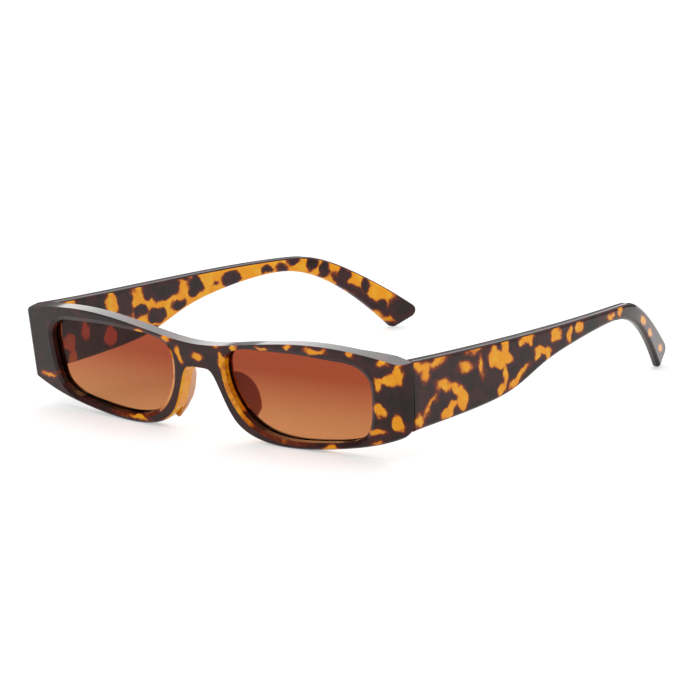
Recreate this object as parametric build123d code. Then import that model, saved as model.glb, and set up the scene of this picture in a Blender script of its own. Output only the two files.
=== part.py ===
from build123d import *
import math
import os

# Narrow rectangle sunglasses with wide temples, standing open on their rims and
# temple tips. Millimetres. +X is the wearer's left, the lenses face -Y, +Z is up.
# The front is drawn upright, its face touching y = 0 at the bridge, and is then
# tilted so that its top leans forward. The temples are drawn as they stand.

# Driving sizes of the front
bridge_width = 20.6           # between the two lens openings
lens_width = 52.0             # the opening in the rim, as is usual for glasses
lens_height = 26.2
end_piece_width = 10.0        # lens opening to the corner between face and side
rim_top_width = 3.1
rim_bottom_width = 2.3
nose_spread = 2.1             # low down, each rim stands this far out from the bridge's end
wrap_radius = 486.0           # the face bends round the head on this radius
tilt = 7.5                    # degrees the top leans forward
rim_depth = 4.4               # face to back of the rims
edge_bevel = 0.45             # along the outer edges
bevel_width = 1.2             # bevel round each lens, measured on the face
bevel_depth = 0.5

# Driving sizes of the lenses and their grooves
lens_setback = 2.2            # face of the rim to face of the lens
lens_thickness = 1.5
lens_seat = 0.7               # how far the lens runs into its groove
groove_clearance = 0.1

# Driving sizes of the nose pads
pad_reach = 7.1               # how far they stand behind the rims
pad_flare = 3.4               # how far they spread outwards on the way
pad_root_thickness = 2.4

# Driving sizes of the end pieces and the joint with the temples
side_flare = 1.7              # the sides widen by this much from the face to the joint
end_piece_depth = 1.3         # corner of the upright face to the joint plane
joint_gap = 0.15
return_margin = 0.5           # the end piece's return is wider than the temple it meets
return_ramp = 9.0
relief_depth = 2.4            # slope under the end piece that a folded temple's tip clears
relief_height = 1.4
hinge_block_depth = 3.4
hinge_block_margin = 1.6      # plastic above and below the hinge leaf
hinge_block_wall = 0.9        # plastic between the end of the leaf and the block's side
hinge_block_setoff = 0.5      # the block keeps this far from the lens groove
hinge_block_chamfer = 0.6

# Driving sizes of the temples
temple_length = 140.5
temple_root_lift = 9.0        # lower edge above the floor at the joint
temple_top_drop = 2.4         # upper edge below the front's height at the joint
temple_root_thickness = 4.2
temple_tip_thickness = 3.3
temple_sweep = 24.0           # how far the tip curves in
temple_edge_bevel = 0.75
temple_edge_easing = 0.28     # second, smaller bevel on both sides of the first
tip_toe_radius = 1.2
tip_heel_radius = 2.4

# Driving sizes of the hinges
hinge_height_share = 0.475    # middle of the barrel, up the temple's root
knuckle_radius = 1.6
knuckle_height = 1.6
front_knuckles = 3
temple_knuckles = 2
knuckle_gap = 0.08
knuckle_clearance = 0.3       # knuckle to the plastic beside it
leaf_thickness = 0.9
temple_leaf_length = 7.0
leaf_clearance = 0.05
screw_radius = 0.65
screw_clearance = 0.05
screw_head_radius = 1.15
screw_head_height = 0.6
slot_width = 0.3

# One overrun serves every cut
overrun = 3.0


lens_half_width = lens_width / 2
lens_half_height = lens_height / 2
lens_centre_x = bridge_width / 2 + lens_half_width
lens_centre_height = rim_bottom_width + lens_half_height
front_half_width = lens_centre_x + lens_half_width + end_piece_width
front_height = rim_bottom_width + lens_height + rim_top_width
nose_half_gap = bridge_width / 2 + nose_spread
temple_half_span = front_half_width + side_flare
temple_root_height = front_height - temple_top_drop - temple_root_lift


def wrap_depth(x):
    """How far the face has bent back at a distance x from the bridge."""
    return wrap_radius - math.sqrt(wrap_radius ** 2 - x ** 2)


joint_setback = wrap_depth(front_half_width) + end_piece_depth


def upright_depth(depth, height):
    """Where a depth of the standing glasses lies in the upright front, at a height of it."""
    lean = math.radians(tilt)
    return (depth + height * math.sin(lean)) / math.cos(lean)


def mirrored(points):
    return [(-x, y) for x, y in reversed(points)]


def wrap_band(near, far):
    """The bent layer between two depths behind the face, over the whole front."""
    reach = front_half_width + overrun
    ring = Circle(wrap_radius - near) - Circle(wrap_radius - far)
    window = Pos(0, wrap_depth(reach) / 2) * Rectangle(2 * reach, wrap_depth(reach) + 2 * far + overrun)
    return extrude(Pos(0, 0, -overrun) * (Pos(0, wrap_radius) * ring & window), front_height + 2 * overrun)


def front_plan():
    """The front seen from above: bent face, flared sides and the returns to the temples."""
    corner = (front_half_width, wrap_depth(front_half_width))
    side_depth = corner[1] + rim_depth
    side = (temple_half_span, side_depth)
    return_back = max(side_depth, upright_depth(joint_setback, front_height))
    return_in = temple_half_span - temple_root_thickness - return_margin
    ramp_in = return_in - return_ramp
    flare_share = 0.72
    swell = (front_half_width + flare_share * (temple_half_span - front_half_width),
             corner[1] + rim_depth / 2)
    back_mid = (0, rim_depth)
    ramp_back = (ramp_in, wrap_depth(ramp_in) + rim_depth)
    face = ThreePointArc((-corner[0], corner[1]), (0, 0), corner)
    right_side = ThreePointArc(corner, swell, side)
    right_return = Polyline(side, (side[0], return_back), (return_in, return_back), ramp_back)
    back = ThreePointArc(ramp_back, back_mid, (-ramp_back[0], ramp_back[1]))
    left_return = Polyline(mirrored([side, (side[0], return_back), (return_in, return_back), ramp_back]))
    left_side = ThreePointArc((-side[0], side[1]), (-swell[0], swell[1]), (-corner[0], corner[1]))
    return make_face([face, right_side, right_return, back, left_return, left_side])


# Shares of the half width and of the height, from the bridge outwards
brow_shares = [(0.27, 0.934), (0.58, 1.0), (0.87, 0.952), (1.04, 0.872)]
bridge_top_share = 0.872
bridge_under_share = 0.648
rim_low_shares = [(0.86, 0.124), (0.66, 0.043), (0.43, 0.0), (0.30, 0.027)]
rim_low_end_shares = (1.04, 0.268)
# Shares of the nose gap's half width and of the height, from low to high
nose_side_shares = [(1.0, 0.165), (0.74, 0.32), (0.51, 0.53), (0.33, 0.632)]


def front_outline():
    """The front seen from ahead, with the nose gap cut up to the bridge."""
    brow = [(a * front_half_width, b * front_height) for a, b in brow_shares]
    bridge_top = (0, bridge_top_share * front_height)
    bridge_under = (0, bridge_under_share * front_height)
    low_end = (rim_low_end_shares[0] * front_half_width, rim_low_end_shares[1] * front_height)
    low = [(a * front_half_width, b * front_height) for a, b in rim_low_shares]
    nose = [(a * nose_half_gap, b * front_height) for a, b in nose_side_shares]
    top = Spline(mirrored(brow) + [bridge_top] + brow)
    right = Polyline(brow[-1], low_end)
    left = Polyline(mirrored([brow[-1], low_end]))
    under = [low_end] + low + nose
    under_edge = Spline(under + [bridge_under] + mirrored(under))
    return make_face([top, right, under_edge, left])


# Round the lens opening, as shares of its half width and half height
opening_shares = [(-0.97, 0.02), (-1.0, 0.42), (-0.95, 0.78), (-0.82, 0.92), (-0.44, 0.99),
                  (0.1, 1.0), (0.56, 0.94), (0.86, 0.83), (0.98, 0.6), (1.0, 0.2), (0.97, -0.25),
                  (0.9, -0.6), (0.76, -0.79), (0.38, -0.94), (-0.04, -1.0), (-0.34, -0.97),
                  (-0.62, -0.81), (-0.84, -0.46)]


outline_stations = 24


def lens_outline(growth):
    """The opening of the wearer's left rim, grown all round by a given amount."""
    loop = Spline([(a * lens_half_width, b * lens_half_height) for a, b in opening_shares], periodic=True)
    if growth:
        places = [index / outline_stations for index in range(outline_stations)]
        loop = Spline([loop @ t + outward(loop, t) * growth for t in places], periodic=True)
    halves = [loop.trim(0, 0.5), loop.trim(0.5, 1)]
    return Pos(lens_centre_x, lens_centre_height) * make_face(halves)


def outward(loop, place):
    """The side of a clockwise loop that faces out, at a share of its length."""
    return (loop % place).rotate(Axis.Z, 90)


def tip_relief():
    """The slope cut under the end pieces, along their lower edge and up to the joint face."""
    outside = front_half_width + overrun
    inside = lens_centre_x + lens_half_width + lens_seat
    below = Pos((inside + outside) / 2, 0) * Rectangle(outside - inside, lens_height)
    start = upright_depth(joint_setback, temple_root_lift) - relief_depth
    plane = Plane((0, start, 0), x_dir=(1, 0, 0), z_dir=(0, -1, 0))
    return extrude(plane * (below - front_outline()), 2 * rim_depth, dir=(0, relief_depth, relief_height))


def through(sketch):
    """A sketch of the front, seen from ahead, run through the whole front."""
    depth = wrap_depth(front_half_width) + 2 * rim_depth + 2 * overrun
    return extrude(Plane((0, -overrun, 0), x_dir=(1, 0, 0), z_dir=(0, -1, 0)) * sketch, -depth)


def stand(shape):
    """Tilt a piece of the front and set the rims on the floor."""
    return Pos(0, 0, floor_lift) * Rot(tilt, 0, 0) * shape


def both_sides(shape):
    return [shape, mirror(shape, Plane.YZ)]


hinge_height = temple_root_lift + temple_root_height * hinge_height_share
hinge_x = temple_half_span - temple_root_thickness - knuckle_radius - knuckle_clearance
knuckles = front_knuckles + temple_knuckles
barrel_height = knuckles * knuckle_height
barrel_floor = hinge_height - barrel_height / 2
hinge_block_in = lens_centre_x + lens_half_width + lens_seat + groove_clearance + hinge_block_setoff
front_leaf_length = hinge_x - hinge_block_in - hinge_block_wall


def joint_cut():
    """The flat face behind each end piece, where the temple and the hinge meet it."""
    near = (hinge_block_in, joint_setback)
    far = (near[0] - 2 * rim_depth, joint_setback + 2 * rim_depth)
    outside = temple_half_span + overrun
    plan = make_face(Polyline(near, (outside, near[1]), (outside, far[1]), far, close=True))
    return extrude(Pos(0, 0, -overrun) * plan, front_height + 2 * overrun)


def hinge_block():
    """The raised block behind the end piece that holds the hinge leaf."""
    width = hinge_x + knuckle_radius - hinge_block_in
    height = barrel_height + 2 * hinge_block_margin
    block = upright_box(width, hinge_block_depth, height, Align.MAX, Align.MAX)
    inner = [e for e in block.faces().sort_by(Axis.Y)[-1].edges() if e.center().X < -knuckle_radius]
    block = chamfer(inner, hinge_block_chamfer)
    return Pos(knuckle_radius, 0, 0) * at_hinge(block, barrel_floor - hinge_block_margin)


def knuckle_span(index):
    """Bottom and height of one knuckle, counted from the lowest."""
    return barrel_floor + index * knuckle_height + knuckle_gap / 2, knuckle_height - knuckle_gap


def at_hinge(shape, bottom):
    return Pos(hinge_x, joint_setback, bottom) * shape


def upright_cylinder(radius, height):
    return Cylinder(radius, height, align=(Align.CENTER, Align.CENTER, Align.MIN))


def upright_box(width, depth, height, x_align, y_align):
    return Box(width, depth, height, align=(x_align, y_align, Align.MIN))


def front_leaf():
    """The hinge half in the end piece: a sunk plate with the odd knuckles."""
    plate = upright_box(front_leaf_length, leaf_thickness, barrel_height, Align.MAX, Align.MAX)
    plate = at_hinge(plate, barrel_floor)
    room = at_hinge(upright_cylinder(knuckle_radius + knuckle_clearance, barrel_height), barrel_floor)
    leaf = plate - room
    for index in range(0, knuckles, 2):
        bottom, height = knuckle_span(index)
        leaf += at_hinge(upright_cylinder(knuckle_radius, height), bottom)
        leaf += at_hinge(upright_box(2 * knuckle_radius, leaf_thickness, height, Align.MAX, Align.MAX), bottom)
    leaf -= at_hinge(upright_cylinder(screw_radius + screw_clearance, barrel_height), barrel_floor)
    head_floor = barrel_floor + barrel_height - screw_head_height - knuckle_gap
    leaf -= at_hinge(upright_cylinder(screw_head_radius + screw_clearance, 2 * knuckle_height), head_floor)
    return leaf


def temple_leaf():
    """The hinge half in the temple: a sunk plate and webs to the even knuckles."""
    reach = knuckle_radius + knuckle_clearance
    plate = upright_box(leaf_thickness, temple_leaf_length, barrel_height, Align.MIN, Align.MIN)
    leaf = Pos(reach, joint_gap, 0) * at_hinge(plate, barrel_floor)
    for index in range(1, knuckles, 2):
        bottom, height = knuckle_span(index)
        leaf += at_hinge(upright_cylinder(knuckle_radius, height), bottom)
        web = upright_box(reach + leaf_thickness, knuckle_radius - joint_gap, height, Align.MIN, Align.MIN)
        leaf += Pos(0, joint_gap, 0) * at_hinge(web, bottom)
    return leaf - at_hinge(upright_cylinder(screw_radius + screw_clearance, barrel_height), barrel_floor)


def hinge_screw():
    """A slotted screw down the barrel, its head sunk in the top knuckle."""
    head_floor = barrel_floor + barrel_height - screw_head_height
    screw = at_hinge(upright_cylinder(screw_radius, barrel_height - screw_head_height), barrel_floor)
    screw += at_hinge(upright_cylinder(screw_head_radius, screw_head_height), head_floor)
    slot = Box(3 * screw_head_radius, slot_width, screw_head_height)
    return screw - at_hinge(slot, barrel_floor + barrel_height)


def front_leaf_pocket():
    """What the end piece gives up for the plate and the turning barrel."""
    plate = upright_box(front_leaf_length + leaf_clearance, leaf_thickness + leaf_clearance,
                        barrel_height + 2 * leaf_clearance, Align.MAX, Align.MAX)
    barrel = upright_cylinder(knuckle_radius + knuckle_clearance, barrel_height + 2 * knuckle_clearance)
    return at_hinge(plate, barrel_floor - leaf_clearance) + at_hinge(barrel, barrel_floor - knuckle_clearance)


def temple_leaf_pocket():
    width = knuckle_clearance + leaf_thickness + leaf_clearance
    plate = upright_box(width, temple_leaf_length + joint_gap + leaf_clearance,
                        barrel_height + 2 * leaf_clearance, Align.MIN, Align.MIN)
    return Pos(knuckle_radius, 0, 0) * at_hinge(plate, barrel_floor - leaf_clearance)


def lens():
    return through(lens_outline(lens_seat)) & wrap_band(lens_setback, lens_setback + lens_thickness)


def lens_groove():
    near = lens_setback - groove_clearance / 2
    far = lens_setback + lens_thickness + groove_clearance / 2
    return through(lens_outline(lens_seat + groove_clearance)) & wrap_band(near, far)


def front_shell():
    """The moulded front before it is tilted, with its outer edges eased and the lenses' openings."""
    plan = extrude(Pos(0, 0, -overrun) * front_plan(), front_height + 2 * overrun)
    shell = plan & through(front_outline())
    shell = chamfer([e for e in shell.edges() if is_outer_edge(e)], edge_bevel)
    for cut in (bevelled_opening(), tip_relief(), lens_groove()):
        for side_cut in both_sides(cut):
            shell -= side_cut
    return shell


def is_outer_edge(edge):
    """True for the edges that are eased: round the face, down the corners and along the back."""
    middle = edge.center(CenterOf.BOUNDING_BOX)
    long_edge = edge.length > front_half_width
    corner = abs(abs(middle.X) - front_half_width) < edge_bevel
    side = abs(middle.X) > front_half_width and edge.geom_type != GeomType.LINE
    return long_edge or corner or side


def bevelled_opening():
    """What a lens opening and the bevel round it take from the wearer's left rim."""
    room = through(lens_outline(bevel_width + lens_seat)) & wrap_band(0, 2 * rim_depth)
    ring = room - through(lens_outline(0))
    face_edges = ShapeList([e for e in ring.edges() if on_face(e.position_at(0.5))])
    inner_edges = face_edges.sort_by(SortBy.LENGTH)[:2]
    face = ShapeList([f for f in ring.faces() if on_face(f.center())]).sort_by(Axis.Y)[0]
    return room - chamfer(inner_edges, bevel_width, bevel_depth, reference=face)


def on_face(point):
    return abs(point.Y - wrap_depth(point.X)) < rim_depth / 4


# Shares of the temple's length and root height, measured up from the floor
temple_top_shares = [(0.21, 1.387), (0.5, 1.344), (0.69, 1.307), (0.762, 1.25), (0.84, 1.01),
                     (0.94, 0.546), (1.0, 0.215)]
temple_low_shares = [(0.11, 0.48), (0.21, 0.525), (0.32, 0.645), (0.415, 0.87), (0.5, 0.998),
                     (0.635, 1.1), (0.7, 1.093), (0.765, 0.97), (0.84, 0.655), (0.936, 0.0)]
# Shares of the length and of the sweep, seen from above
temple_bow_shares = [(0.285, 0.032), (0.43, 0.068), (0.57, 0.15), (0.785, 0.44), (0.93, 0.81), (1.0, 1.0)]
temple_thin_shares = [(0.285, 0.0), (0.43, 0.1), (0.57, 0.5), (0.785, 0.9), (0.93, 1.0), (1.0, 1.0)]


def temple_side():
    """The temple seen from its side, drawn in (length, height)."""
    start = [joint_gap, temple_root_lift + temple_root_height]
    top = [(a * temple_length, b * temple_root_height) for a, b in temple_top_shares]
    low = [(a * temple_length, b * temple_root_height) for a, b in temple_low_shares]
    upper = Spline([tuple(start)] + top)
    root_low = (joint_gap, temple_root_lift)
    lower = Spline([root_low] + low)
    return make_face([upper, Line(top[-1], low[-1]), lower, Line(root_low, tuple(start))])


def temple_plan():
    """The temple seen from above: straight at first, then swept in behind the ear."""
    thinning = temple_root_thickness - temple_tip_thickness
    outer = [(0, 0)] + [(-b * temple_sweep, a * temple_length) for a, b in temple_bow_shares]
    inner = [(-temple_root_thickness, 0)]
    for (x, y), (_, share) in zip(outer[1:], temple_thin_shares):
        inner.append((x - temple_root_thickness + share * thinning, y))
    outside = Spline(outer)
    inside = Spline(inner)
    return make_face([outside, Line(outer[-1], inner[-1]), inside, Line(inner[0], outer[0])])


def temple():
    plan = extrude(temple_plan(), temple_root_lift + 2 * temple_root_height)
    side = Plane((0, 0, 0), x_dir=(0, 1, 0), z_dir=(1, 0, 0)) * temple_side()
    body = extrude(side, 2 * temple_sweep, both=True) & plan
    body = fillet(tip_edge(body, highest=False), tip_toe_radius)
    body = fillet(tip_edge(body, highest=True), tip_heel_radius)
    eased = chamfer([e for e in body.edges() if runs_along(e)], temple_edge_bevel)
    new_edges = [e for e in eased.edges() - body.edges() if runs_along(e)]
    return chamfer(new_edges, temple_edge_easing)


def runs_along(edge):
    """True for an edge that follows the temple, and not for one across its tip or its root."""
    middle = edge.tangent_at(0.5)
    behind_root = edge.center(CenterOf.BOUNDING_BOX).Y > temple_root_thickness
    return behind_root and abs(middle.X) < abs(middle.Y) + abs(middle.Z)


def tip_edge(body, highest):
    """The cross edge at the toe, where the tip meets the floor, or at the heel above it."""
    tip = [e for e in body.edges().filter_by(Axis.X) if e.center().Y > temple_length / 2]
    return ShapeList(tip).sort_by(Axis.Z)[-1 if highest else 0]


# The pad's sections from the rim backwards: share of the reach, low and high ends as
# shares of the nose gap's half width and of the height, and share of the root thickness
pad_shares = [(0.0, (1.08, 0.13), (0.62, 0.58), 1.0), (0.45, (0.98, 0.18), (0.62, 0.57), 0.85),
              (0.88, (0.86, 0.27), (0.65, 0.53), 0.7), (1.0, (0.83, 0.31), (0.67, 0.49), 0.35)]


def pad_section(depth_share, low, high, thickness_share):
    """One upright section of the wearer's left pad, a slot that leans with the rim."""
    flare = depth_share * pad_flare
    low_point = Vector(low[0] * nose_half_gap + flare, low[1] * front_height)
    high_point = Vector(high[0] * nose_half_gap + flare, high[1] * front_height)
    thickness = thickness_share * pad_root_thickness
    span = high_point - low_point
    centre = (low_point + high_point) / 2
    lean = math.degrees(math.atan2(span.Y, span.X))
    slot = Pos(centre.X, centre.Y) * SlotCenterToCenter(span.length, thickness, rotation=lean)
    depth = rim_depth - lens_thickness + depth_share * (pad_reach + lens_thickness)
    return Plane((0, depth, 0), x_dir=(1, 0, 0), z_dir=(0, -1, 0)) * slot


def nose_pad():
    """A pad bonded to the back of the rim, spreading outwards to fit the nose."""
    sections = [pad_section(*row) for row in pad_shares]
    pad = loft([section.faces()[0] for section in sections], ruled=True)
    solid_rim = through(front_outline()) & wrap_band(0, rim_depth)
    return pad - solid_rim


upright_front = front_shell()
floor_lift = -(Rot(tilt, 0, 0) * upright_front).bounding_box().min.Z

front_frame = stand(upright_front)
for block in both_sides(hinge_block()):
    front_frame += block
for cut in (joint_cut(), front_leaf_pocket()):
    for side_cut in both_sides(cut):
        front_frame -= side_cut

left_pieces = {
    "lens": stand(lens()),
    "nose_pad": stand(nose_pad()),
    "temple": Pos(temple_half_span, joint_setback, 0) * temple() - temple_leaf_pocket(),
    "hinge_front_leaf": front_leaf(),
    "hinge_temple_leaf": temple_leaf(),
    "hinge_screw": hinge_screw(),
}

pieces = {"front_frame": front_frame}
for name, piece in left_pieces.items():
    pieces[name + "_left"] = piece
    pieces[name + "_right"] = mirror(piece, Plane.YZ)

# The origin is on the floor, in the middle of the standing glasses
whole = Compound(children=[Compound(p.solids()) for p in pieces.values()]).bounding_box()
to_origin = Pos(0, -(whole.min.Y + whole.max.Y) / 2, 0)

os.makedirs("parts", exist_ok=True)
for name, piece in pieces.items():
    export_step(to_origin * piece, "parts/" + name + ".step")
    print(name, round(piece.volume, 2), len(piece.solids()), piece.is_valid)

joint_y = joint_setback - (whole.min.Y + whole.max.Y) / 2
print("hinge axis", round(hinge_x, 3), round(joint_y, 3), "barrel", round(barrel_floor, 3), round(barrel_height, 3))
print("size", whole.size, "lowest", whole.min.Z, "floor lift", floor_lift, "y shift", (whole.min.Y + whole.max.Y) / 2)
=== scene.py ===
import math
import bpy
from mathutils import Matrix, Vector


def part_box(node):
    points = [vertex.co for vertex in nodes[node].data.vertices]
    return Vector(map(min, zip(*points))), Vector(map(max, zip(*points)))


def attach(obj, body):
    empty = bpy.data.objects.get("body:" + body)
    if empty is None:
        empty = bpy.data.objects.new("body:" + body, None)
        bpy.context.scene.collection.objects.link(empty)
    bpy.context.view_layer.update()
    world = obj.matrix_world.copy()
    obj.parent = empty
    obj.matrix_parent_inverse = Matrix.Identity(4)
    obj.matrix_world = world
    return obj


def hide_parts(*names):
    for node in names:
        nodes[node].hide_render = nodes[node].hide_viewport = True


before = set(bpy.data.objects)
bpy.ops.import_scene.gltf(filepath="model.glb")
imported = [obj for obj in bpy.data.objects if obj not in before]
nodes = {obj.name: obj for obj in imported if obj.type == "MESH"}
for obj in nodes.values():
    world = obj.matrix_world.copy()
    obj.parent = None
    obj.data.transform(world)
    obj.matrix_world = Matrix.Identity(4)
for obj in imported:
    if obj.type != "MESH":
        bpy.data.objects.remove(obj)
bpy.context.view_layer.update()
bpy.ops.object.select_all(action="DESELECT")


# The camera. The glasses stand open and are seen from the wearer's left, a little
# above the lenses, from 1.7 metres away through a long lens.
camera_azimuth = math.radians(42.502)
camera_elevation = math.radians(12.295)
camera_roll = math.radians(-2.144)
camera_distance = 1.71889
camera_focal_length = 309.926
camera_target = Vector((0.02749, -0.039049, 0.022229))

level_right = Vector((math.cos(camera_azimuth), math.sin(camera_azimuth), 0))
to_camera = Vector((math.sin(camera_azimuth) * math.cos(camera_elevation),
                    -math.cos(camera_azimuth) * math.cos(camera_elevation),
                    math.sin(camera_elevation)))
level_up = to_camera.cross(level_right)
picture_right = math.cos(camera_roll) * level_right + math.sin(camera_roll) * level_up
picture_up = -math.sin(camera_roll) * level_right + math.cos(camera_roll) * level_up
camera_turn = Matrix((picture_right, picture_up, to_camera)).transposed().to_4x4()

camera_data = bpy.data.cameras.new("camera")
camera_data.lens = camera_focal_length
camera = bpy.data.objects.new("camera", camera_data)
camera.matrix_world = Matrix.Translation(camera_target + camera_distance * to_camera) @ camera_turn
bpy.context.scene.collection.objects.link(camera)
bpy.context.scene.camera = camera


# The moulded front: amber plastic with dark brown swirled through it, polished after
# moulding. It is nearly all brown, with amber patches that go through its whole depth,
# and the bevels and walls beside the nose show the amber too.
mm = 0.001
black_brown = (0.009, 0.0075, 0.006, 1)
wine_brown = (0.048, 0.011, 0.011, 1)
red_brown = (0.16, 0.020, 0.003, 1)
orange = (0.66, 0.16, 0.006, 1)
amber = (1.0, 0.38, 0.002, 1)
honey = (1.0, 0.47, 0.016, 1)
plastic_ior = 1.49
plastic_specular = 0.25          # half the usual level, so that the dark parts stay dark


def feed(tree, node, values):
    """Sets named or numbered inputs of a node to plain values or to other nodes' outputs."""
    for label, value in values.items():
        if isinstance(value, bpy.types.NodeSocket):
            tree.links.new(value, node.inputs[label])
        else:
            node.inputs[label].default_value = value


def calculated(tree, operation, *values):
    """The result of a Math node."""
    node = tree.nodes.new("ShaderNodeMath")
    node.operation = operation
    feed(tree, node, dict(enumerate(values)))
    return node.outputs[0]


def calculated_place(tree, operation, first, second):
    """The result of a Vector Math node."""
    node = tree.nodes.new("ShaderNodeVectorMath")
    node.operation = operation
    feed(tree, node, {0: first, 1: second})
    return node.outputs[0]


def split(tree, vector):
    """The X, Y and Z of a place or a normal."""
    node = tree.nodes.new("ShaderNodeSeparateXYZ")
    feed(tree, node, {0: vector})
    return node


def cloud(tree, place, size, detail):
    """Soft noise with clouds of about this size."""
    noise = tree.nodes.new("ShaderNodeTexNoise")
    feed(tree, noise, {"Vector": place, "Scale": 1 / size, "Detail": detail})
    return noise


def rise(tree, value, low, high):
    """From 0 at the low value, or below it, to 1 at the high one."""
    step = tree.nodes.new("ShaderNodeMapRange")
    step.interpolation_type = "SMOOTHSTEP"
    feed(tree, step, {"Value": value, "From Min": low, "From Max": high})
    return step.outputs["Result"]


# The colour sockets of a Mix node have the names of its other sockets, so they go by number
mix_first_colour = 6
mix_second_colour = 7
mix_colour_result = 2


def blend(tree, factor, first, second):
    """The first colour, turning into the second one as the factor rises to 1."""
    mix = tree.nodes.new("ShaderNodeMix")
    mix.data_type = "RGBA"
    feed(tree, mix, {"Factor": factor, mix_first_colour: first, mix_second_colour: second})
    return mix.outputs[mix_colour_result]


def new_group(name, inputs, outputs):
    """A shader node group, with its input and output nodes. Each socket is a name and a kind."""
    group = bpy.data.node_groups.new(name, "ShaderNodeTree")
    for direction, sockets in (("INPUT", inputs), ("OUTPUT", outputs)):
        for label, kind in sockets.items():
            group.interface.new_socket(label, in_out=direction, socket_type="NodeSocket" + kind)
    return group, group.nodes.new("NodeGroupInput"), group.nodes.new("NodeGroupOutput")


patch_melt = 0.7                 # how far patches that lie close run together, in millimetres


def colour_patch_group():
    """Adds one rounded patch to the swirl. The level is the depth inside the amber in
    millimetres, below nought in the brown. A Tone of -1 lays brown over the amber."""
    group, given, result = new_group(
        "colour_patch",
        {"Place": "Vector", "Level": "Float", "Centre": "Vector", "Half Sizes": "Vector",
         "Lean": "Vector", "Rim Depth": "Float", "Tone": "Float"},
        {"Level": "Float"})
    tone = given.outputs["Tone"]
    fitted = group.nodes.new("ShaderNodeMapping")
    fitted.vector_type = "TEXTURE"
    feed(group, fitted, {"Vector": given.outputs["Place"], "Location": given.outputs["Centre"],
                         "Rotation": given.outputs["Lean"], "Scale": given.outputs["Half Sizes"]})
    length = group.nodes.new("ShaderNodeVectorMath")
    length.operation = "LENGTH"
    feed(group, length, {0: fitted.outputs["Vector"]})
    from_rim = calculated(group, "SUBTRACT", 1.0, length.outputs["Value"])
    inside = calculated(group, "MULTIPLY", from_rim, given.outputs["Rim Depth"])
    before = calculated(group, "MULTIPLY", given.outputs["Level"], tone)
    joined = calculated(group, "SMOOTH_MAX", before, inside, patch_melt)
    feed(group, result, {"Level": calculated(group, "MULTIPLY", joined, tone)})
    return group


# The size of the swirls, and how far they move the edges of the patches
broad_swirl = (3.2 * mm, 2.6 * mm)
fine_swirl = (0.9 * mm, 0.5 * mm)


def melt_waver_group():
    """Wavers the place that the patches are read at, as the melt did."""
    group, given, result = new_group("melt_waver", {"Place": "Vector"}, {"Place": "Vector"})
    noise_middle = (0.5, 0.5, 0.5)
    place = given.outputs["Place"]
    for size, waver in (broad_swirl, fine_swirl):
        noise = cloud(group, given.outputs["Place"], size, 0.0)
        centred = calculated_place(group, "SUBTRACT", noise.outputs["Color"], noise_middle)
        sized = calculated_place(group, "MULTIPLY", centred, (waver, waver, waver))
        place = calculated_place(group, "ADD", place, sized)
    feed(group, result, {"Place": place})
    return group


# Where the colours set in, in millimetres of depth inside the amber
wine_depths = (-3.5, -0.8)
red_brown_depths = (-0.75, -0.25)
orange_depths = (-0.30, 0.0)
amber_depths = (-0.10, 0.3)
# The clouds of wine in the brown, and of honey in the amber: their size and their soft edge
wine_cloud_size = 5 * mm
wine_cloud_edge = (0.48, 0.62)
honey_cloud_size = 3 * mm
honey_cloud_edge = (0.45, 0.65)
wine_by_the_amber = 0.6          # share of wine in the brown where it comes near the amber
ragged_size = 1.3 * mm           # the small waves along the edge of a patch
ragged_reach = 0.35              # how far they move it either way, in millimetres
polish_cloud_size = 4 * mm
best_polish = 0.05               # least roughness
polish_spread = 0.06


def mottled_colour_group():
    """Turns the depth inside the amber into the plastic's colour, and varies its polish."""
    group, given, result = new_group("mottled_colour", {"Place": "Vector", "Level": "Float"},
                                     {"Color": "Color", "Roughness": "Float"})

    def clouds(size, detail):
        return cloud(group, given.outputs["Place"], size, detail).outputs["Fac"]

    waves = calculated(group, "MULTIPLY_ADD", clouds(ragged_size, 2.0), 2 * ragged_reach, -ragged_reach)
    level = calculated(group, "ADD", given.outputs["Level"], waves)
    wine_clouds = rise(group, clouds(wine_cloud_size, 1.0), *wine_cloud_edge)
    near_amber = rise(group, level, *wine_depths)
    wine = calculated(group, "MULTIPLY_ADD", near_amber, wine_by_the_amber, wine_clouds)
    brown = blend(group, wine, black_brown, wine_brown)
    gold = blend(group, rise(group, clouds(honey_cloud_size, 1.0), *honey_cloud_edge), amber, honey)
    shade = blend(group, rise(group, level, *red_brown_depths), brown, red_brown)
    shade = blend(group, rise(group, level, *orange_depths), shade, orange)
    shade = blend(group, rise(group, level, *amber_depths), shade, gold)
    polish = calculated(group, "MULTIPLY_ADD", clouds(polish_cloud_size, 0.0), polish_spread, best_polish)
    feed(group, result, {"Color": shade, "Roughness": polish})
    return group


# Each gain is how fast the amber comes in past the limit above it
flat_turn = 0.3                  # a face whose normal turns aside less than this is flat
wall_gain = 4.0
upward_weight = 0.9              # a face that looks up counts less than one that looks aside
nose_reach = 30 * mm             # how far from the middle the walls are amber
nose_gain = 60.0
brow_height = 24 * mm            # how high up they are
brow_gain = 400.0
wall_amber = 0.08                # the most amber on a wall, as a level
gap_amber = 0.3                  # and how much more there is where it looks to the middle


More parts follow.
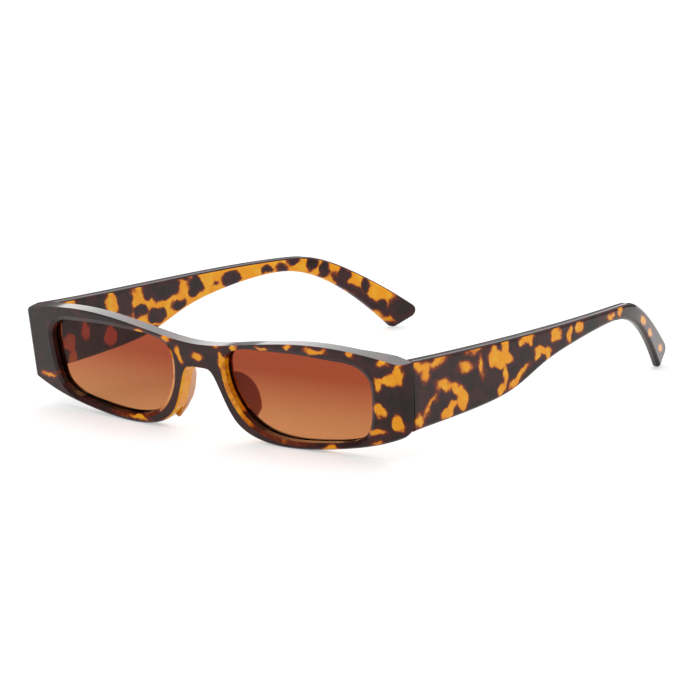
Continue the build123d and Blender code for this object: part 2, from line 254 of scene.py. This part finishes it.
def nose_walls_group():
    """Amber on the bevels and walls that face into an opening or the nose gap. The flat
    face between them stays brown."""
    group, given, result = new_group("nose_walls", {"Place": "Vector", "Normal": "Vector", "Level": "Float"},
                                     {"Level": "Float"})
    place = split(group, given.outputs["Place"])
    normal = split(group, given.outputs["Normal"])

    def most(first, second):
        return calculated(group, "MAXIMUM", first, second)

    def least(first, second):
        return calculated(group, "MINIMUM", first, second)

    def times(first, second):
        return calculated(group, "MULTIPLY", first, second)

    def less(first, second):
        return calculated(group, "SUBTRACT", first, second)

    sideways = calculated(group, "ABSOLUTE", normal.outputs["X"])
    facing = most(sideways, times(normal.outputs["Z"], upward_weight))
    turned = times(less(facing, flat_turn), wall_gain)
    aside = calculated(group, "ABSOLUTE", place.outputs["X"])
    near_nose = times(less(nose_reach, aside), nose_gain)
    below_brow = times(less(brow_height, place.outputs["Z"]), brow_gain)
    to_gap = calculated(group, "LESS_THAN", times(normal.outputs["X"], place.outputs["X"]), 0.0)
    cap = calculated(group, "MULTIPLY_ADD", to_gap, gap_amber, wall_amber)
    wall = least(least(least(turned, near_nose), below_brow), cap)
    feed(group, result, {"Level": most(wall, given.outputs["Level"])})
    return group


# Painted shade: faces that look up more than this are kept dark brown, with no amber
painted_dark_top_limit = 0.62              # the height of the normal from which a face counts as looking up
painted_dark_top_gain = 8.0


def painted_dark_tops_group():
    """Painted shade on the tops: faces that look up show no amber and stay dark brown, as the light goes
    past it.
    """
    group, given, result = new_group("painted_dark_tops", {"Normal": "Vector", "Level": "Float"},
                                     {"Level": "Float"})
    normal = split(group, given.outputs["Normal"])
    below_limit = calculated(group, "SUBTRACT", painted_dark_top_limit, normal.outputs["Z"])
    highest = calculated(group, "MULTIPLY", below_limit, painted_dark_top_gain)
    feed(group, result, {"Level": calculated(group, "MINIMUM", given.outputs["Level"], highest)})
    return group


colour_patch = colour_patch_group()
melt_waver = melt_waver_group()
mottled_colour = mottled_colour_group()
nose_walls = nose_walls_group()
painted_dark_tops = painted_dark_tops_group()


def new_material(name):
    """A material, its nodes and its shader."""
    material = bpy.data.materials.new(name)
    material.use_nodes = True
    return material, material.node_tree, material.node_tree.nodes["Principled BSDF"]


def placed(tree, group, values):
    """Places a shared effect in a material, with its inputs."""
    node = tree.nodes.new("ShaderNodeGroup")
    node.node_tree = group
    feed(tree, node, values)
    return node


deep_brown = -5.0                # the level where no patch is near, in millimetres


def mottled(name, patches, amber_walls=False):
    """Plastic of one moulding. Each patch is a tone and a centre, half sizes and a lean
    in millimetres and degrees. A tone of 1 is clear amber, less is duller, -1 is brown."""
    material, tree, shader = new_material(name)
    where = tree.nodes.new("ShaderNodeTexCoord")
    place = where.outputs["Object"]
    normal = where.outputs["Normal"]
    waver = placed(tree, melt_waver, {"Place": place})
    level = deep_brown
    for tone, centre, halves, lean in patches:
        patch = placed(tree, colour_patch, {
            "Place": waver.outputs["Place"],
            "Level": level,
            "Centre": [c * mm for c in centre],
            "Half Sizes": [h * mm for h in halves],
            "Lean": [math.radians(angle) for angle in lean],
            "Rim Depth": abs(tone) * min(halves),
            "Tone": math.copysign(1, tone)})
        level = patch.outputs["Level"]
    if amber_walls:
        walls = placed(tree, nose_walls, {"Place": place, "Normal": normal, "Level": level})
        level = walls.outputs["Level"]
    # Painted shade: faces that look up lose their amber and stay dark brown
    dark_tops = placed(tree, painted_dark_tops, {"Normal": normal, "Level": level})
    colour = placed(tree, mottled_colour, {"Place": place, "Level": dark_tops.outputs["Level"]})
    feed(tree, shader, {"Base Color": colour.outputs["Color"], "Roughness": colour.outputs["Roughness"],
                        "IOR": plastic_ior, "Specular IOR Level": plastic_specular})
    return material


def dress(node_name, material):
    """Gives a CAD node this one material."""
    slots = nodes[node_name].data.materials
    slots.clear()
    slots.append(material)


right_through = 1000             # half depth of a patch that goes through the moulding


def seen_from_ahead(tone, rows):
    """Patches of the front, by x and z, that go through its depth."""
    return [(tone, (x, 0, z), (half_x, right_through, half_z), (0, -lean, 0))
            for x, z, half_x, half_z, lean in rows]


# Each row is a place, two half sizes and a lean. On the wearer's left: the corner, the
# end piece, the brow and the low rim
left_end_patches = [(72.0, 26.6, 1.3, 2.8, 0), (67.4, 28.8, 1.5, 1.1, 0), (68.2, 24.0, 3.4, 1.0, 12),
                    (65.4, 22.4, 1.2, 2.0, 0), (64.9, 15.2, 1.8, 2.2, 0), (70.6, 11.5, 1.8, 2.2, 0),
                    (62.6, 8.1, 2.6, 0.9, 5), (62.7, 5.0, 1.1, 0.4, 0)]
brow_patches = [(25.7, 28.8, 1.4, 0.6, 0), (35.2, 30.4, 1.4, 0.9, 0), (44.5, 30.0, 2.9, 0.9, 5),
                (56.6, 30.2, 1.3, 0.8, 0), (15.1, 27.5, 1.2, 1.3, 0), (6.5, 27.7, 1.5, 0.4, 0),
                (0.2, 23.7, 1.6, 1.0, 0), (9.5, 23.8, 1.0, 2.1, 0), (46.0, 1.5, 3.4, 0.9, 5)]
right_side_patches = [(-6.9, 23.7, 1.0, 2.1, 10), (-11.4, 27.7, 1.4, 0.6, 0), (-27.2, 1.6, 3.0, 0.6, 0),
                      (-22.3, 28.2, 1.4, 0.6, 0), (-65.7, 9.3, 2.4, 0.6, 5)]
# The outer sides of both end pieces are brown all over
end_side_x, end_side_y, end_side_z = 74.6, -64.5, 18.0
end_side_half_sizes = (2.2, 4.6, 40.0)
end_piece_sides = [(-1, (side * end_side_x, end_side_y, end_side_z), end_side_half_sizes, (0, 0, 0))
                   for side in (1, -1)]

front_patches = seen_from_ahead(1, left_end_patches + brow_patches + right_side_patches)
front_patches += end_piece_sides
dress("front_frame", mottled("front_plastic", front_patches, amber_walls=True))


# The temples: the same plastic as the front, moulded by themselves, wide and flat at
# the hinge and swept in and down behind the ear. The wearer's right one has far more
# amber in it than the left one.
def seen_from_side(tone, rows):
    """Patches of a temple, by y and z, that go through its thickness."""
    return [(tone, (0, y, z), (right_through, half_y, half_z), (lean, 0, 0))
            for y, z, half_y, half_z, lean in rows]


dull_tone = 0.6
left_temple_dull = [
    (-60.8, 27.2, 3.5, 1.3, -10), (-53.9, 27.2, 3.6, 1.0, 12), (-58.6, 24.9, 1.5, 2.5, 0),
    (-41.5, 23.4, 2.4, 1.0, -5), (-34.7, 22.1, 0.9, 2.0, 0), (-37.5, 27.4, 1.8, 0.5, 0),
    (-50.9, 19.8, 2.6, 1.1, -15), (-62.3, 11.5, 2.0, 1.8, 0), (-58.0, 15.1, 2.8, 0.5, 41)]
left_temple_amber = [
    (-46.2, 18.2, 2.9, 1.3, -30), (-43.5, 14.5, 2.2, 3.3, 0), (-48.6, 12.6, 3.6, 1.4, 32),
    (-25.5, 22.5, 4.3, 2.4, -10), (-24.5, 26.0, 1.8, 2.2, 0), (-29.6, 23.6, 1.7, 2.7, 0),
    (-24.2, 17.4, 0.9, 3.1, 0), (-26.2, 13.7, 2.1, 1.3, 30), (-18.4, 16.1, 4.2, 1.1, 32),
    (-16.8, 26.0, 1.3, 1.2, 0), (-14.6, 26.7, 2.6, 0.8, 0), (-12.6, 25.6, 1.0, 1.3, 0),
    (-7.0, 21.5, 3.5, 1.2, -8), (-9.8, 20.4, 1.5, 1.2, 0), (-5.1, 19.9, 1.2, 1.6, 0),
    (-1.0, 25.0, 2.2, 1.8, 0), (5.9, 23.6, 1.2, 2.2, -15), (11.1, 24.8, 1.8, 2.1, 0),
    (34.3, 25.0, 1.5, 1.1, 0), (28.4, 24.3, 1.8, 0.7, 0), (50.9, 18.2, 2.3, 1.4, -25),
    (57.5, 12.9, 2.0, 0.9, -30), (67.5, 6.5, 1.6, 1.1, -30)]
left_temple_brown = [(-26.5, 26.6, 0.6, 1.9, 0)]
left_temple_patches = seen_from_side(dull_tone, left_temple_dull)
left_temple_patches += seen_from_side(1, left_temple_amber)
left_temple_patches += seen_from_side(-1, left_temple_brown)
dress("temple_left", mottled("left_temple_plastic", left_temple_patches))

right_temple_amber = [
    (14.0, 22.0, 46.0, 11.0, 0), (57.0, 14.5, 16.0, 5.5, -45), (-52.5, 27.2, 3.3, 0.9, -10),
    (-36.9, 24.6, 1.9, 3.8, 10), (-47.8, 18.9, 1.5, 2.8, 0), (-37.7, 15.2, 2.4, 3.0, 0),
    (-54.7, 15.7, 2.4, 2.5, 0), (-53.1, 11.4, 1.5, 1.9, 0)]
right_temple_brown = [
    (-46.7, 26.6, 5.5, 4.3, 0), (-31.5, 23.8, 3.2, 5.4, 15), (-16.5, 25.2, 8.2, 3.7, -6),
    (-25.5, 20.1, 3.5, 1.9, -10), (-18.3, 17.6, 4.4, 2.8, -10), (-9.3, 19.1, 3.2, 1.7, 5),
    (-2.4, 23.7, 3.3, 3.6, -10), (-7.2, 27.1, 3.8, 1.2, -2), (12.2, 23.4, 4.1, 2.9, -9),
    (5.7, 22.6, 1.4, 0.6, 11), (26.3, 24.0, 1.9, 1.6, -9), (31.7, 23.6, 3.0, 1.2, -4),
    (35.7, 25.5, 2.5, 1.3, -8), (42.4, 23.3, 1.9, 2.9, -8), (46.3, 21.7, 2.0, 2.9, -8),
    (52.4, 18.8, 2.4, 2.8, -36), (52.6, 15.7, 7.0, 1.5, -41), (58.9, 10.2, 7.6, 1.6, -44),
    (59.0, 14.4, 1.9, 2.5, -7), (70.5, 4.6, 5.8, 3.9, -41), (64.2, 7.0, 3.9, 1.8, -44),
    (-15.5, 28.8, 56.0, 0.9, -1.6)]
right_temple_patches = seen_from_side(1, right_temple_amber)
right_temple_patches += seen_from_side(-1, right_temple_brown)
dress("temple_right", mottled("right_temple_plastic", right_temple_patches))


# The lenses: brown polycarbonate, dyed darker at the top and fading towards the
# bottom, snapped into the grooves of the rims.
lens_top_tint = (0.285, 0.052, 0.018, 1)
lens_bottom_tint = (0.50, 0.205, 0.075, 1)
fade_foot_share = 0.08           # where the fade begins and ends, as shares of the lens's height
fade_head_share = 0.72
lens_ior = 1.2                   # low, so that the thin lens shows what is behind it in its place


def lens_material():
    """The tint fades with height, and the light that goes on to the floor takes it too."""
    material, tree, shader = new_material("lens_tint")
    low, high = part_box("lens_left")
    where = tree.nodes.new("ShaderNodeTexCoord")
    place = split(tree, where.outputs["Object"])
    height = tree.nodes.new("ShaderNodeMapRange")
    feed(tree, height, {"Value": place.outputs["Z"], "From Min": low.z, "From Max": high.z})
    fade = tree.nodes.new("ShaderNodeValToRGB")
    foot, head = fade.color_ramp.elements
    foot.color = lens_bottom_tint
    foot.position = fade_foot_share
    head.color = lens_top_tint
    head.position = fade_head_share
    feed(tree, fade, {"Fac": height.outputs["Result"]})
    tint = fade.outputs["Color"]
    feed(tree, shader, {"Base Color": tint, "Roughness": 0.0, "IOR": lens_ior, "Transmission Weight": 1.0})
    shade = tree.nodes.new("ShaderNodeBsdfTransparent")
    feed(tree, shade, {"Color": tint})
    rays = tree.nodes.new("ShaderNodeLightPath")
    mix = tree.nodes.new("ShaderNodeMixShader")
    feed(tree, mix, {0: rays.outputs["Is Shadow Ray"], 1: shader.outputs["BSDF"], 2: shade.outputs["BSDF"]})
    feed(tree, tree.nodes["Material Output"], {"Surface": mix.outputs["Shader"]})
    return material


lens_tint = lens_material()
for side in ("left", "right"):
    dress("lens_" + side, lens_tint)


# The nose pads: clear amber plastic, moulded by themselves and bonded to the backs of
# the rims. Each is made of a copy of its solid, cut to the outline of an egg-shaped
# form and smoothed all over, and takes the solid's place.
pad_colour = (0.64, 0.235, 0.03, 1)
pad_roughness = 0.2
pad_form_centre = (11.5 * mm, -68.9 * mm, 11.0 * mm)
pad_form_half_sizes = (10.0 * mm, 7.2 * mm, 8.8 * mm)
merge_reach = 0.001 * mm
pad_grain = 0.3 * mm             # how finely the pad's form is read before it is smoothed
smoothing_rounds = 12
smoothing_strength = 0.5
pad_filling = 0.12 * mm          # gives back what the smoothing took off

pad_amber, pad_tree, pad_shader = new_material("pad_amber")
feed(pad_tree, pad_shader, {"Base Color": pad_colour, "Roughness": pad_roughness,
                            "Specular IOR Level": plastic_specular})

for side, sign in (("left", 1), ("right", -1)):
    moulded = nodes["nose_pad_" + side]
    pad = moulded.copy()
    pad.data = moulded.data.copy()
    pad.name = "smooth_pad_" + side
    bpy.context.scene.collection.objects.link(pad)
    across, along, upward = pad_form_centre
    bpy.ops.mesh.primitive_uv_sphere_add(segments=64, ring_count=32, radius=1,
                                         location=(sign * across, along, upward),
                                         scale=pad_form_half_sizes)
    form = bpy.context.object
    form.select_set(False)
    bpy.context.view_layer.objects.active = pad
    pad.select_set(True)
    bpy.ops.object.mode_set(mode="EDIT")
    bpy.ops.mesh.select_all(action="SELECT")
    bpy.ops.mesh.remove_doubles(threshold=merge_reach)
    bpy.ops.object.mode_set(mode="OBJECT")
    outline = pad.modifiers.new("outline", "BOOLEAN")
    outline.operation = "INTERSECT"
    outline.object = form
    even = pad.modifiers.new("even", "REMESH")
    even.mode = "VOXEL"
    even.voxel_size = pad_grain
    rounded = pad.modifiers.new("rounded", "SMOOTH")
    rounded.factor = smoothing_strength
    rounded.iterations = smoothing_rounds
    full = pad.modifiers.new("full", "DISPLACE")
    full.strength = pad_filling
    full.mid_level = 0.0
    for change in ("outline", "even", "rounded", "full"):
        bpy.ops.object.modifier_apply(modifier=change)
    bpy.ops.object.shade_smooth()
    pad.select_set(False)
    bpy.data.objects.remove(form)
    pad.data.materials.clear()
    pad.data.materials.append(pad_amber)
    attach(pad, "front")
    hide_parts("nose_pad_" + side)


# The hinges: barrel hinges of nickel silver, with one leaf sunk in the end piece and
# one in the temple, and a small slotted steel screw through their knuckles. They
# hardly show until the temples are folded.
def metal(name, colour, roughness):
    """Bare metal with a satin finish."""
    material, tree, shader = new_material(name)
    feed(tree, shader, {"Base Color": colour, "Metallic": 1.0, "Roughness": roughness})
    return material


nickel_silver = (0.72, 0.68, 0.6, 1)
screw_steel = (0.62, 0.62, 0.63, 1)
leaf_metal = metal("leaf_metal", nickel_silver, roughness=0.28)
screw_metal = metal("screw_metal", screw_steel, roughness=0.3)
for side in ("left", "right"):
    dress("hinge_front_leaf_" + side, leaf_metal)
    dress("hinge_temple_leaf_" + side, leaf_metal)
    dress("hinge_screw_" + side, screw_metal)


# The studio: a white floor, and a white sky that darkens towards the horizon, so that
# upright faces stay dark. One broad light from nearly overhead sets the soft shadows,
# and a screen behind the glasses lights their upper edges.
white = (1, 1, 1, 1)
floor_width = 6.0
floor_grey = (0.62, 0.62, 0.62, 1)
floor_roughness = 0.9
floor_glow = 0.42                # brings the grey to white where it is seen

bpy.ops.mesh.primitive_plane_add(size=floor_width)
floor = bpy.context.object
floor.name = "floor"
floor_material, floor_tree, floor_shader = new_material("floor_white")
floor_rays = floor_tree.nodes.new("ShaderNodeLightPath")
seen = calculated(floor_tree, "MAXIMUM", floor_rays.outputs["Is Camera Ray"],
                  floor_rays.outputs["Is Glossy Ray"])
seen = calculated(floor_tree, "MAXIMUM", seen, floor_rays.outputs["Is Transmission Ray"])
glow = calculated(floor_tree, "MULTIPLY", seen, floor_glow)
feed(floor_tree, floor_shader, {"Base Color": floor_grey, "Roughness": floor_roughness,
                                "Specular IOR Level": 0.0,
                                "Emission Color": white, "Emission Strength": glow})
floor.data.materials.append(floor_material)

dark_sky_height = 0.12           # heights of a direction, from 0 at the horizon to 1 overhead
full_sky_height = 0.34
dark_sky_strength = 0.2
full_sky_strength = 1.0

world = bpy.data.worlds.new("studio")
bpy.context.scene.world = world
world.use_nodes = True
sky_tree = world.node_tree
direction = sky_tree.nodes.new("ShaderNodeTexCoord")
above_horizon = sky_tree.nodes.new("ShaderNodeMapRange")
feed(sky_tree, above_horizon, {"Value": split(sky_tree, direction.outputs["Generated"]).outputs["Z"],
                               "From Min": dark_sky_height, "From Max": full_sky_height,
                               "To Min": dark_sky_strength, "To Max": full_sky_strength})
sky_rays = sky_tree.nodes.new("ShaderNodeLightPath")
shown = calculated(sky_tree, "MAXIMUM", above_horizon.outputs["Result"], sky_rays.outputs["Is Camera Ray"])
feed(sky_tree, sky_tree.nodes["Background"], {"Color": white, "Strength": shown})

away_from_camera = Vector((-level_right.y, level_right.x, 0))
overhead = Vector((0, 0, 1))
broad_light_lean = 0.15          # how far the light stands behind the glasses, for each unit of height
broad_light_spread = math.radians(70)
broad_light_power = 0.5
to_light = broad_light_lean * away_from_camera + overhead
sun_data = bpy.data.lights.new("broad_light", "SUN")
sun_data.energy = broad_light_power
sun_data.angle = broad_light_spread
sun = bpy.data.objects.new("broad_light", sun_data)
sun.rotation_euler = (-to_light).to_track_quat("-Z", "Y").to_euler()
bpy.context.scene.collection.objects.link(sun)

screen_distance = 1.2
screen_height = 0.78
screen_width = 1.6
screen_depth = 1.0
screen_power = 11.0
screen_data = bpy.data.lights.new("back_screen", "AREA")
screen_data.shape = "RECTANGLE"
screen_data.size = screen_width
screen_data.size_y = screen_depth
screen_data.energy = screen_power
screen = bpy.data.objects.new("back_screen", screen_data)
screen.location = screen_distance * away_from_camera + screen_height * overhead
screen.rotation_euler = (-screen.location).to_track_quat("-Z", "Y").to_euler()
bpy.context.scene.collection.objects.link(screen)

bpy.context.scene.view_settings.view_transform = "Standard"
